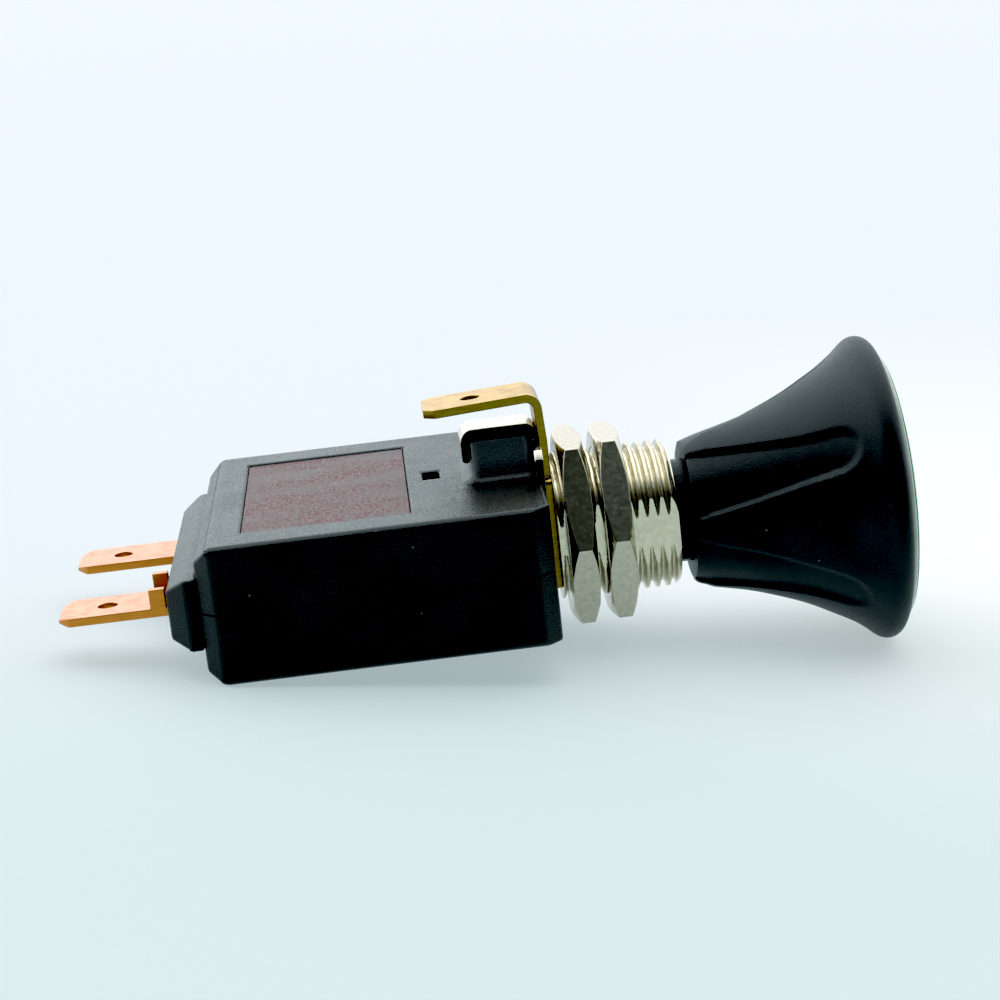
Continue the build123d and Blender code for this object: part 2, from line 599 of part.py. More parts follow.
with BuildPart() as lamp_bulb:
    with BuildSketch(Plane.XY):
        with BuildLine():
            Polyline((BULB_TIP_X, 0), (LAMP_CAP_X[0] + 2.0, 0), (LAMP_CAP_X[0] + 2.0, 2.9),
                     (LAMP_CAP_X[1], 2.9), (LAMP_CAP_X[1] + 0.8, 3.3), (BULB_TIP_X - 3.3, 3.3))
            RadiusArc((BULB_TIP_X - 3.3, 3.3), (BULB_TIP_X, 0), 3.3)
        make_face()
    revolve(axis=Axis.X)
save(lamp_bulb.part, "lamp_bulb")

# ---- rod that feeds the lamp through the stem
with BuildPart() as feed_rod:
    with BuildSketch(Plane.XY):
        Polygon(
            (ROD_REAR_X, 0), (ROD_REAR_X, ROD_R - 0.2), (ROD_REAR_X + 0.2, ROD_R),
            (STEM_POCKET_X + 0.05, ROD_R), (STEM_POCKET_X + 0.05, 1.8),
            (STEM_POCKET_X + 0.55, 1.8), (STEM_POCKET_X + 0.65, 0),
            align=None,
        )
    revolve(axis=Axis.X)
save(feed_rod.part, "feed_rod")

# ---- slider: gripped on the stem's rear end, carries the bridge, clip and detent
with BuildPart() as slider:
    slider_mid_x = (SLIDER_FRONT_X + SLIDER_REAR_X) / 2
    with Locations((slider_mid_x, 0, 0)):
        Box(SLIDER_FRONT_X - SLIDER_REAR_X, 2 * SLIDER_HALF_W, 2 * SLIDER_HALF_H)
    with Locations((sum(WING_X) / 2, 0, sum(WING_Z) / 2)):
        Box(WING_X[1] - WING_X[0], 2 * WING_HALF_W, WING_Z[1] - WING_Z[0])
    with Locations(Location((0, 0, 0), (0, 90, 0))):
        Cylinder(STEM_REAR_R + SLIDER_GRIP_GAP, -2 * SLIDER_BORE_END_X, mode=Mode.SUBTRACT)
    with Locations(Location(((CLIP_X[0] + CLIP_X[1]) / 2 - 0.4, 0, 0), (0, 90, 0))):
        Cylinder(CLIP_R + 0.1, 1.7, mode=Mode.SUBTRACT)
    with Locations((BRIDGE_X + 0.2, 0, 0)):
        Box(BRIDGE_SIZE[0] + 0.6, 60, 2 * WING_Z[0], mode=Mode.SUBTRACT)
    with Locations((BRIDGE_X, BRIDGE_SPRING_Y, WING_Z[0]), (BRIDGE_X, -BRIDGE_SPRING_Y, WING_Z[0])):
        Cylinder(*SPRING_POCKET, align=(Align.CENTER, Align.CENTER, Align.MIN), mode=Mode.SUBTRACT)
    with Locations((DETENT_X, 0, -SLIDER_HALF_H)):
        Cylinder(BALL_R + FIT_GAP, DETENT_POCKET_L,
                 align=(Align.CENTER, Align.CENTER, Align.MIN), mode=Mode.SUBTRACT)
save(slider.part, "slider")

# ---- E-clip that holds the slider on the stem
with BuildPart() as retaining_clip:
    with BuildSketch(Plane.YZ.offset(CLIP_X[0])):
        Circle(CLIP_R)
        Circle(STEM_REAR_R - 0.45, mode=Mode.SUBTRACT)
        with Locations((0, -CLIP_R)):
            Rectangle(2.6, 2 * CLIP_R - 1.5, mode=Mode.SUBTRACT)
    extrude(amount=CLIP_X[1] - CLIP_X[0])
save(retaining_clip.part, "retaining_clip")

# ---- contact bridge with two domed pads, and its leaf to the feed rod
with BuildPart() as contact_bridge:
    bridge_z = TERMINAL_Z + TAB_T / 2 + BRIDGE_LIFT + PAD_H
    with Locations((BRIDGE_X, 0, bridge_z)):
        Box(*BRIDGE_SIZE, align=(Align.CENTER, Align.CENTER, Align.MIN))
    fillet(contact_bridge.edges().filter_by(Axis.Z), radius=0.6)
    for side in (-1, 1):
        with Locations((BRIDGE_X, side * BRIDGE_SPRING_Y, bridge_z)):
            Cylinder(PAD_R, PAD_H, align=(Align.CENTER, Align.CENTER, Align.MAX))
            Cylinder(PIP_R, PIP_H, align=(Align.CENTER, Align.CENTER, Align.MIN))
save(contact_bridge.part, "contact_bridge")

with BuildPart() as feed_leaf:
    with Locations((BRIDGE_X + BRIDGE_SIZE[0] / 2 + 0.02, 0, bridge_z + BRIDGE_SIZE[2])):
        Box(0.25, 2.0, 2.1, align=(Align.MIN, Align.CENTER, Align.MAX))
save(feed_leaf.part, "feed_leaf")

# ---- two coil springs that press the bridge down
with BuildPart() as bridge_springs:
    spring_foot = bridge_z + BRIDGE_SIZE[2] + 0.15
    for side in (-1, 1):
        with BuildLine(mode=Mode.PRIVATE) as coil:
            Helix(pitch=COIL_PITCH, height=COIL_HEIGHT, radius=COIL_R,
                  center=(BRIDGE_X, side * BRIDGE_SPRING_Y, spring_foot))
        with BuildSketch(coil.line ^ 0):
            Circle(COIL_WIRE_R)
        sweep(path=coil.line, is_frenet=True)
save(bridge_springs.part, "bridge_springs")

# ---- detent ball and spring
with BuildPart() as detent_ball:
    with Locations((DETENT_X, 0, BALL_Z)):
        Sphere(BALL_R)
save(detent_ball.part, "detent_ball")

with BuildPart() as detent_spring:
    with BuildLine(mode=Mode.PRIVATE) as coil:
        Helix(pitch=DETENT_PITCH, height=2 * DETENT_PITCH, radius=DETENT_COIL_R,
              center=(DETENT_X, 0, BALL_Z + BALL_R + 0.12))
    with BuildSketch(coil.line ^ 0):
        Circle(DETENT_WIRE_R)
    sweep(path=coil.line, is_frenet=True)
save(detent_spring.part, "detent_spring")

# ---- knob: trumpet shape with finger flutes that fade out towards the rim
knob_rear_r = 7.15
flute_floor = [(x, r - FLUTE_DEPTH) for x, r in reversed(KNOB_OUTER) if x < 21]
flute_floor += [(22.6, 11.7 - 0.5), (24.9, 13.05 - FLUTE_END_DEPTH)]
with BuildPart() as flute_cutter:
    with BuildSketch(Plane.XY):
        with BuildLine():
            rear_floor = (KNOB_REAR_X, knob_rear_r - 0.1 - FLUTE_DEPTH)
            Polyline((KNOB_REAR_X - 1, KNOB_FRONT_X), (KNOB_REAR_X - 1, rear_floor[1] - 0.1), rear_floor)
            Spline(rear_floor, *flute_floor)
            Polyline(flute_floor[-1], (flute_floor[-1][0], KNOB_FRONT_X), (KNOB_REAR_X - 1, KNOB_FRONT_X))
        make_face()
    revolve(axis=Axis.X)
    with BuildSketch(Plane.XY) as flute_outline:
        end_x, end_r = FLUTE_HALF_W[-1]
        with BuildLine():
            Polyline(
                *[(x, -half) for x, half in reversed(FLUTE_HALF_W)],
                (KNOB_REAR_X - 1.5, -FLUTE_REAR_HALF_W),
                (KNOB_REAR_X - 1.5, FLUTE_REAR_HALF_W),
                *FLUTE_HALF_W,
            )
            RadiusArc((end_x, end_r), (end_x, -end_r), end_r)
        make_face()
    extrude(amount=2 * KNOB_RIM_R, mode=Mode.INTERSECT)

with BuildPart() as knob:
    rear_corner = (KNOB_REAR_X + KNOB_REAR_EDGE[0], knob_rear_r)
    rear_chamfer = (KNOB_REAR_X, knob_rear_r - KNOB_REAR_EDGE[1])
    rim_front = (KNOB_FRONT_X, KNOB_RIM_R - KNOB_RIM_ROUND)
    rim_side = (KNOB_RIM_X, KNOB_RIM_R)
    with BuildSketch(Plane.XY):
        with BuildLine():
            Polyline(
                rear_chamfer,
                (KNOB_REAR_X, KNOB_BORE_R),
                *KNOB_INNER,
                (SEAT_X[0], LENS_R + FIT_GAP),
                (SEAT_X[1], LENS_R + FIT_GAP),
                (SEAT_X[1], RING_R + FIT_GAP),
                (KNOB_FRONT_X, RING_R + FIT_GAP),
                rim_front,
            )
            RadiusArc(rim_front, rim_side, -KNOB_RIM_ROUND)
            Spline(rim_side, *KNOB_OUTER, rear_corner, tangents=((-1, 0), (-1, -0.2)))
            Line(rear_corner, rear_chamfer)
        make_face()
    revolve(axis=Axis.X)
    for index in range(FLUTE_COUNT):
        flute_angle = FLUTE_FIRST + index * 360 / FLUTE_COUNT
        add(flute_cutter.part.rotate(Axis.X, 90 - flute_angle), mode=Mode.SUBTRACT)
save(knob.part, "knob")

# ---- pale ring between the rim and the lens
with BuildPart() as lens_ring:
    with BuildSketch(Plane.XY):
        Polygon(
            (SEAT_X[1] + FIT_GAP, LENS_R + FIT_GAP),
            (SEAT_X[1] + FIT_GAP, RING_R),
            (RING_FRONT_X - RING_CHAMFER, RING_R),
            (RING_FRONT_X, RING_R - RING_CHAMFER),
            (RING_FRONT_X, LENS_R + FIT_GAP),
            align=None,
        )
    revolve(axis=Axis.X)
save(lens_ring.part, "lens_ring")

# ---- domed lens with a short skirt
dome_r = (LENS_R**2 + LENS_RISE**2) / (2 * LENS_RISE)
dome_centre_x = LENS_EDGE_X + LENS_RISE - dome_r
inner_r = dome_r - LENS_WALL
skirt_r = LENS_R - LENS_WALL
outer_sweep = math.degrees(math.asin(LENS_R / dome_r))
inner_sweep = math.degrees(math.asin(skirt_r / inner_r))
with BuildPart() as lens:
    with BuildSketch(Plane.XY):
        with BuildLine():
            outer_arc = CenterArc((dome_centre_x, 0), dome_r, 0, outer_sweep)
            inner_arc = CenterArc((dome_centre_x, 0), inner_r, 0, inner_sweep)
            Line(outer_arc @ 0, inner_arc @ 0)
            Polyline(inner_arc @ 1, (LENS_SKIRT_X, skirt_r), (LENS_SKIRT_X, LENS_R), outer_arc @ 1)
        make_face()
    revolve(axis=Axis.X)
save(lens.part, "lens")
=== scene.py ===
import json
import math

import bmesh
import bpy
import numpy as np
from mathutils import Matrix, Vector
from mathutils.bvhtree import BVHTree

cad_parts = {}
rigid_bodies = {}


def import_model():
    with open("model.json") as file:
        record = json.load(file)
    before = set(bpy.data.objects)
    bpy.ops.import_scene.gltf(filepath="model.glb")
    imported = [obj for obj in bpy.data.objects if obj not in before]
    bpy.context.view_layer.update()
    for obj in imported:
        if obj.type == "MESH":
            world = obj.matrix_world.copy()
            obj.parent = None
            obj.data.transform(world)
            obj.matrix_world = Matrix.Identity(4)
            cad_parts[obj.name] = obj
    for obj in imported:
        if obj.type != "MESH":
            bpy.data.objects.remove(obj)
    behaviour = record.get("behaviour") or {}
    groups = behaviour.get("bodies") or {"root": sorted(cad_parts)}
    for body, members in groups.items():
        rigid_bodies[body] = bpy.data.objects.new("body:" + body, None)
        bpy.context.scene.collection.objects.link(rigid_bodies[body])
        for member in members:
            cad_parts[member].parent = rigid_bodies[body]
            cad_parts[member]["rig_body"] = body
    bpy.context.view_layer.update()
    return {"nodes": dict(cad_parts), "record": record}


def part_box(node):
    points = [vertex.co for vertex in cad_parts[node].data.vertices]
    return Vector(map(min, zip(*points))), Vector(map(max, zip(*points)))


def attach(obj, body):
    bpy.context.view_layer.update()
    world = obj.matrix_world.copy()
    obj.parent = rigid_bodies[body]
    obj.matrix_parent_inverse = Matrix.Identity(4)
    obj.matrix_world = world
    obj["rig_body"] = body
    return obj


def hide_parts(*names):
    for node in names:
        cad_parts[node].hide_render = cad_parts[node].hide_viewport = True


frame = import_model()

MM = 0.001
PER_METRE = 1000.0
NODES = frame["nodes"]
STATIC = "switch_body"
MOVING = "plunger"


# ---------------------------------------------------------------- material kit
EDGE_STARTS = 0.98
EDGE_FULL = 0.80
PALE_FADE = 1.2
SHEEN_PAINT_SIDE = (0.040, 0.052, 0.058)
# Colour of plated edges: rubbed plating together with a painted highlight.
RUB_AND_HIGHLIGHT_EDGE = (0.88, 0.83, 0.66)


class Look:
    """A Principled material with helpers for procedural detail. Pattern sizes are in millimetres."""

    def __init__(self, name, metal=0.0, level=0.5):
        self.mat = bpy.data.materials.new(name)
        self.mat.use_nodes = True
        self.tree = self.mat.node_tree
        self.shader = self.tree.nodes["Principled BSDF"]
        self.set("Metallic", metal)
        self.set("Specular IOR Level", level)
        self.coords = self.stretched((1, 1, 1))
        self.normal = None

    def node(self, kind):
        return self.tree.nodes.new(kind)

    def link(self, source, target):
        self.tree.links.new(source, target)

    def set(self, socket, value):
        self.shader.inputs[socket].default_value = value

    def stretched(self, stretch):
        """Object coordinates in millimetres, stretched along the axes."""
        source = self.node("ShaderNodeTexCoord")
        mapping = self.node("ShaderNodeMapping")
        mapping.inputs["Scale"].default_value = [PER_METRE / s for s in stretch]
        self.link(source.outputs["Object"], mapping.inputs["Vector"])
        return mapping.outputs["Vector"]

    def noise(self, size, detail=2.0, rough=0.5, coords=None):
        """Cloudy value from 0 to 1 with blobs about this many millimetres wide."""
        n = self.node("ShaderNodeTexNoise")
        n.inputs["Scale"].default_value = 1.0 / size
        n.inputs["Detail"].default_value = detail
        n.inputs["Roughness"].default_value = rough
        self.link(coords or self.coords, n.inputs["Vector"])
        return n.outputs["Fac"]

    def cells(self, size):
        """Distance to scattered points about this many millimetres apart."""
        n = self.node("ShaderNodeTexVoronoi")
        n.inputs["Scale"].default_value = 1.0 / size
        self.link(self.coords, n.inputs["Vector"])
        return n.outputs["Distance"]

    def remap(self, value, low, high, to_low=0.0, to_high=1.0):
        n = self.node("ShaderNodeMapRange")
        self.link(value, n.inputs["Value"])
        n.inputs["From Min"].default_value = low
        n.inputs["From Max"].default_value = high
        n.inputs["To Min"].default_value = to_low
        n.inputs["To Max"].default_value = to_high
        return n.outputs["Result"]

    def math(self, operation, a, b):
        n = self.node("ShaderNodeMath")
        n.operation = operation
        for socket, value in zip(n.inputs, (a, b)):
            if isinstance(value, (int, float)):
                socket.default_value = value
            else:
                self.link(value, socket)
        return n.outputs["Value"]

    def mix(self, share, first, second):
        """Colour between first and second; each is a socket or an (r, g, b)."""
        n = self.node("ShaderNodeMix")
        n.data_type = "RGBA"
        self.link(share, n.inputs["Factor"])
        for socket, value in ((n.inputs[6], first), (n.inputs[7], second)):
            if isinstance(value, tuple):
                socket.default_value = (*value, 1.0)
            else:
                self.link(value, socket)
        return n.outputs[2]

    def colour(self, source):
        if isinstance(source, tuple):
            self.set("Base Color", (*source, 1.0))
        else:
            self.link(source, self.shader.inputs["Base Color"])

    def rough(self, source):
        self.link(source, self.shader.inputs["Roughness"])

    def bump(self, height, depth, strength):
        """Adds relief of this depth in millimetres on top of what is there."""
        n = self.node("ShaderNodeBump")
        n.inputs["Strength"].default_value = strength
        n.inputs["Distance"].default_value = depth * MM
        self.link(height, n.inputs["Height"])
        if self.normal is not None:
            self.link(self.normal, n.inputs["Normal"])
        self.normal = n.outputs["Normal"]
        self.link(self.normal, self.shader.inputs["Normal"])

    def facing(self, axis, low=0.45, high=0.75):
        """1 on faces that look along this axis of the object, either way, and 0 on the others."""
        source = self.node("ShaderNodeTexCoord")
        split = self.node("ShaderNodeSeparateXYZ")
        self.link(source.outputs["Normal"], split.inputs["Vector"])
        return self.remap(self.math("ABSOLUTE", split.outputs[axis], 0.0), low, high)

    def edges(self, radius):
        """Mask that is 1 on sharp edges and 0 on flats."""
        bevel = self.node("ShaderNodeBevel")
        bevel.samples = 6
        bevel.inputs["Radius"].default_value = radius * MM
        geometry = self.node("ShaderNodeNewGeometry")
        dot = self.node("ShaderNodeVectorMath")
        dot.operation = "DOT_PRODUCT"
        self.link(bevel.outputs["Normal"], dot.inputs[0])
        self.link(geometry.outputs["Normal"], dot.inputs[1])
        return self.remap(dot.outputs["Value"], EDGE_STARTS, EDGE_FULL)


def black_plastic(name, dark, light, grain, rough, fleck, level, relief=0.03, sheen_paint_above=None):
    """Black moulded plastic: sandy grain, a few dust flecks and rubbed edges.

    The faces along Y above the given height, in millimetres, carry a painted sheen: a paler colour
    standing in for reflected light.
    """
    look = Look(name, level=level)
    clouds = look.noise(5.0, 3.0)
    tone = look.mix(look.remap(clouds, 0.35, 0.65), dark, light)
    # Painted sheen: faces along Y above this height, the raised boss, are coloured paler in place of
    # reflected light.
    if sheen_paint_above is not None:
        place = look.node("ShaderNodeSeparateXYZ")
        look.link(look.coords, place.inputs["Vector"])
        raised = look.remap(place.outputs["Z"], sheen_paint_above, sheen_paint_above + PALE_FADE)
        sides = look.math("MULTIPLY", raised, look.facing("Y", 0.3, 0.8))
        tone = look.mix(sides, tone, SHEEN_PAINT_SIDE)
    fine = look.noise(grain, 3.0, 0.6)
    sparkle = look.remap(fine, 0.56, 0.74, 0.0, 0.7)
    tone = look.mix(sparkle, tone, tuple(0.35 * c for c in fleck))
    dust = look.remap(look.cells(3.2), 0.034, 0.016)
    tone = look.mix(look.math("MULTIPLY", dust, 0.8), tone, tuple(2.0 * c for c in fleck))
    wear = look.math("MULTIPLY", look.edges(0.22), look.remap(look.noise(0.5, 3.0), 0.30, 0.60))
    tone = look.mix(look.math("MULTIPLY", wear, 0.45), tone, fleck)
    look.colour(tone)
    broad = look.noise(6.0, 2.0)
    shine = look.math("ADD", look.remap(fine, 0.3, 0.7, rough - 0.10, rough + 0.14),
                      look.remap(broad, 0.3, 0.7, -0.03, 0.03))
    look.rough(shine)
    look.bump(fine, relief, 0.8)
    return look.mat


def plated_metal(name, colour, dull, rough, ripple, scratch=(1, 1, 1), shear_and_shade=None, grit=0.002):
    """Nickel plate: mottled tone, pits, fine scratches, soft ripple and brighter edges, partly rubbed
    plating and partly a painted highlight.
    """
    look = Look(name, metal=1.0)
    blotch = look.remap(look.noise(0.5, 4.0, 0.7), 0.35, 0.7)
    tone = look.mix(blotch, colour, dull)
    pits = look.remap(look.cells(0.42), 0.13, 0.04)
    tone = look.mix(look.math("MULTIPLY", pits, 0.45), tone, tuple(c * 0.45 for c in dull))
    lines = look.noise(0.10, 3.0, 0.6, coords=look.stretched(scratch))
    tone = look.mix(look.remap(lines, 0.55, 0.75, 0.0, 0.4), tone, dull)
    # Painted shade: faces along Y take the given dark colour, used on the strap's edges for their dark
    # reflection.
    if shear_and_shade is not None:
        tone = look.mix(look.facing("Y", 0.6, 0.9), tone, shear_and_shade)
    # Brighter edges: rubbed plating and a painted highlight.
    look.colour(look.mix(look.math("MULTIPLY", look.edges(0.12), 0.6), tone, RUB_AND_HIGHLIGHT_EDGE))
    look.rough(look.remap(look.noise(0.45, 4.0, 0.6), 0.3, 0.7, rough - 0.05, rough + 0.08))
    look.bump(look.noise(ripple, 2.0), 0.012, 0.6)
    look.bump(look.noise(0.16, 3.0, 0.6), grit, 0.7)
    return look.mat


def stamped_metal(name, colour, stain, rough, shear_and_shade=None, darkened_sides=("Y",)):
    """Rolled and stamped strip: faint rolling lines, blotches, scuffs, and the faces along the listed
    sides tinted with a given colour, which on the brass tab is painted shade.
    """
    look = Look(name, metal=1.0)
    along = look.stretched((9, 1, 1))
    lines = look.noise(0.14, 3.0, 0.6, coords=along)
    blotch = look.remap(look.noise(1.6, 4.0, 0.65), 0.42, 0.75)
    tone = look.mix(blotch, colour, stain)
    tone = look.mix(look.remap(lines, 0.35, 0.75, 0.0, 0.35), tone, stain)
    spots = look.remap(look.cells(0.8), 0.10, 0.04, 0.0, 0.6)
    tone = look.mix(spots, tone, tuple(c * 0.35 for c in stain))
    # Faces along the listed sides take the given colour; on the brass tab this is painted shade.
    if shear_and_shade is not None:
        for side in darkened_sides:
            tone = look.mix(look.facing(side), tone, shear_and_shade)
    tone = look.mix(look.math("MULTIPLY", look.edges(0.10), 0.55), tone, colour)
    look.colour(tone)
    look.rough(look.remap(lines, 0.3, 0.7, rough - 0.06, rough + 0.1))
    look.bump(lines, 0.003, 0.6)
    look.bump(look.noise(0.9, 2.0), 0.012, 0.4)
    return look.mat


def film_look():
    """Pinkish grey film worn through to a fine red grain in a broad slanting band."""
    look = Look("window_film_look", level=0.12)
    grain = look.noise(0.16, 3.0, 0.7)
    tone = look.mix(look.remap(grain, 0.35, 0.65), (0.15, 0.115, 0.115), (0.27, 0.235, 0.235))
    band = look.remap(look.noise(5.5, 2.0, 0.5, coords=look.stretched((2.6, 1, 1))), 0.38, 0.58)
    red = look.noise(0.21, 4.0, 0.75, coords=look.stretched((1, 1.6, 1)))
    spots = look.remap(red, 0.47, 0.60)
    share = look.math("MULTIPLY", spots, look.math("ADD", look.math("MULTIPLY", band, 0.78), 0.26))
    tone = look.mix(share, tone, (0.17, 0.012, 0.028))
    pale = look.remap(look.cells(1.7), 0.08, 0.04, 0.0, 0.8)
    tone = look.mix(pale, tone, (0.55, 0.55, 0.53))
    look.colour(tone)
    look.rough(look.remap(grain, 0.3, 0.7, 0.38, 0.55))
    look.bump(grain, 0.012, 0.6)
    return look.mat


def lens_look():
    """Deep green polished lens with a faint cloudiness."""
    look = Look("lens_green_look", level=0.5)
    clouds = look.remap(look.noise(2.0, 2.0), 0.3, 0.7)
    look.colour(look.mix(clouds, (0.002, 0.32, 0.095), (0.004, 0.37, 0.115)))
    look.set("Transmission Weight", 0.05)
    look.set("Specular IOR Level", 0.12)
    look.set("Coat Weight", 0.3)
    look.set("Coat Roughness", 0.04)
    look.set("IOR", 1.49)
    look.rough(look.remap(look.noise(0.5), 0.3, 0.7, 0.08, 0.14))
    look.bump(look.noise(1.8), 0.01, 0.3)
    return look.mat


def plain_plastic(name, dark, light, rough, level=0.5):
    """Natural or pale plastic with soft clouds and a moulded surface."""
    look = Look(name, level=level)
    look.colour(look.mix(look.remap(look.noise(1.5, 3.0), 0.3, 0.7), dark, light))
    look.rough(look.remap(look.noise(0.4, 3.0), 0.3, 0.7, rough - 0.05, rough + 0.08))
    look.bump(look.noise(0.3, 3.0), 0.01, 0.5)
    return look.mat


def glass_look():
    look = Look("lamp_glass_look")
    look.colour(look.mix(look.remap(look.noise(3.0), 0.3, 0.7), (0.9, 0.93, 0.92), (0.97, 0.98, 0.97)))
    look.set("Transmission Weight", 1.0)
    look.set("IOR", 1.5)
    look.rough(look.remap(look.noise(1.0), 0.3, 0.7, 0.01, 0.04))
    return look.mat


def make_materials():
    """One material per slot of the record."""
    return {
        "plated_casting": plated_metal(
            "plated_casting_look", (0.68, 0.63, 0.50), (0.56, 0.52, 0.41), 0.17, 1.6),
        "nut_plating": plated_metal(
            "nut_plating_look", (0.66, 0.62, 0.51), (0.54, 0.51, 0.42), 0.20, 1.2,
            grit=0.007),
        # The strap's faces along Y are painted near black: painted shade for their dark reflection.
        "strap_plating": plated_metal(
            "strap_plating_look", (0.84, 0.79, 0.70), (0.66, 0.61, 0.52), 0.16, 2.2,
            scratch=(1, 7, 1), shear_and_shade=(0.04, 0.04, 0.038)),
        # The brass tab's faces along Y and X are painted darker: painted shade.
        "tab_brass": stamped_metal(
            "tab_brass_look", (0.64, 0.45, 0.16), (0.42, 0.25, 0.07), 0.28,
            shear_and_shade=(0.30, 0.21, 0.055), darkened_sides=("Y", "X")),
        "terminal_copper": stamped_metal(
            "terminal_copper_look", (0.76, 0.42, 0.28), (0.56, 0.25, 0.14), 0.32,
            shear_and_shade=(0.64, 0.28, 0.075)),
        "contact_bronze": stamped_metal(
            "contact_bronze_look", (0.70, 0.47, 0.22), (0.45, 0.27, 0.10), 0.28),
        "lamp_brass": stamped_metal(
            "lamp_brass_look", (0.75, 0.60, 0.30), (0.50, 0.36, 0.14), 0.28),
        "spring_steel": stamped_metal(
            "spring_steel_look", (0.60, 0.60, 0.58), (0.38, 0.38, 0.37), 0.25),
        # The housing's boss carries a painted sheen on its Y faces above 7 mm.
        "housing_plastic": black_plastic(
            "housing_plastic_look", (0.006, 0.008, 0.009), (0.012, 0.015, 0.016),
            0.17, 0.27, (0.10, 0.11, 0.11), 0.5, relief=0.045, sheen_paint_above=7.0),
        "knob_plastic": black_plastic(
            "knob_plastic_look", (0.014, 0.018, 0.020), (0.022, 0.027, 0.029),
            0.17, 0.40, (0.13, 0.15, 0.16), 0.42, relief=0.045),
        "stem_plastic": black_plastic(
            "stem_plastic_look", (0.004, 0.004, 0.005), (0.007, 0.007, 0.008),
            0.3, 0.30, (0.02, 0.02, 0.02), 0.3),
        "window_film": film_look(),
        "lens_green": lens_look(),
        "ring_plastic": plain_plastic(
            "ring_plastic_look", (0.62, 0.64, 0.58), (0.74, 0.76, 0.70), 0.3),
        "slider_plastic": plain_plastic(
            "slider_plastic_look", (0.55, 0.52, 0.44), (0.66, 0.63, 0.55), 0.45),
        "lamp_glass": glass_look(),
    }


def dress_nodes(materials):
    """Gives every CAD node the material of its slot in the record."""
    for row in frame["record"]["subparts"]:
        piece = NODES[row["node"]]
        piece.data.materials.clear()
        piece.data.materials.append(materials[row["material_slot"]])


# ---------------------------------------------------------------- pieces
HARD_EDGE = math.radians(24)
SHARP_SHADING = math.radians(40)
FLAT_ANGLE = math.radians(0.6)
MERGE_DISTANCE = 2e-6
BEVEL_SEGMENTS = 2
SEAM_Z = 0.25
SEAM_REACH = 0.2
FAR_AWAY = 0.1
INNER_RAY = Vector((0, 0.995, 0.0998)).normalized()


def finish_piece(name, mesh, body, node, slot_name, materials):
    """Puts a finished mesh in the scene in place of one CAD node."""
    piece = bpy.data.objects.new(name, mesh)
    bpy.context.scene.collection.objects.link(piece)
    piece.data.materials.append(materials[slot_name])
    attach(piece, body)
    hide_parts(node)
    return piece


def on_seam(edge):
    """True for an edge that lies in the joint plane between the two shells."""
    return all(abs(v.co.z - SEAM_Z * MM) < SEAM_REACH * MM for v in edge.verts)


def rounded(node, width, materials):
    """A copy of a CAD node with its hard edges rounded by this many millimetres.

    The edges at the joint between the two shells stay sharp.
    """
    source = NODES[node]
    row = next(r for r in frame["record"]["subparts"] if r["node"] == node)
    work = bmesh.new()
    work.from_mesh(source.data)
    bmesh.ops.remove_doubles(work, verts=work.verts, dist=MERGE_DISTANCE)
    bmesh.ops.dissolve_limit(work, angle_limit=FLAT_ANGLE, verts=work.verts, edges=work.edges)
    hard = [e for e in work.edges if len(e.link_faces) == 2 and e.calc_face_angle(0.0) > HARD_EDGE]
    if node.startswith("housing"):
        hard = [e for e in hard if not on_seam(e)]
    bmesh.ops.bevel(work, geom=hard, offset=width * MM, segments=BEVEL_SEGMENTS,
                    profile=0.5, affect="EDGES", clamp_overlap=False)
    for face in work.faces:
        face.smooth = True
    mesh = bpy.data.meshes.new(node + "_rounded")
    work.to_mesh(mesh)
    work.free()
    keep_in_box(mesh, node)
    piece = finish_piece(node + "_rounded", mesh, source["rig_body"], node, row["material_slot"],
                         materials)
    weigh = piece.modifiers.new("even_flats", "WEIGHTED_NORMAL")
    weigh.keep_sharp = True
    weigh.weight = 100
    return piece


def keep_in_box(mesh, node):
    """Holds every point inside the node's own box."""
    low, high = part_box(node)
    for vertex in mesh.vertices:
        for axis in range(3):
            vertex.co[axis] = min(max(vertex.co[axis], low[axis]), high[axis])


def surface_of(node):
    """The CAD node's surface, ready for rays."""
    source = NODES[node].data
    return BVHTree.FromPolygons([v.co for v in source.vertices],
                                [p.vertices for p in source.polygons])


def radial_field(node, stations, turns):
    """Outer radius of a round CAD node at each station along X and each angle, in metres."""
    tree = surface_of(node)
    field = np.zeros((len(stations), turns))
    for row, x in enumerate(stations):
        for col in range(turns):
            angle = 2 * math.pi * col / turns
            out = Vector((0.0, -math.sin(angle), math.cos(angle)))
            hit = tree.ray_cast(Vector((x, 0, 0)) + out * FAR_AWAY, -out)
            field[row, col] = FAR_AWAY - hit[3] if hit[0] is not None else np.nan
    return field


def inner_profile(node, stations):
    """Inner radius of a round CAD node at each station along X, in metres."""
    tree = surface_of(node)
    rows = []
    for x in stations:
        hit = tree.ray_cast(Vector((x, 0, 0)), INNER_RAY)
        rows.append(hit[3] if hit[0] is not None else np.nan)
    return rows


def soften(field, passes):
    """Blurs a radial field a little along and around, which rounds its edges."""
    for _ in range(passes):
        around = (np.roll(field, 1, 1) + 2 * field + np.roll(field, -1, 1)) / 4
        field = around.copy()
        field[2:-2] = (around[1:-3] + 2 * around[2:-2] + around[3:-1]) / 4
    return field


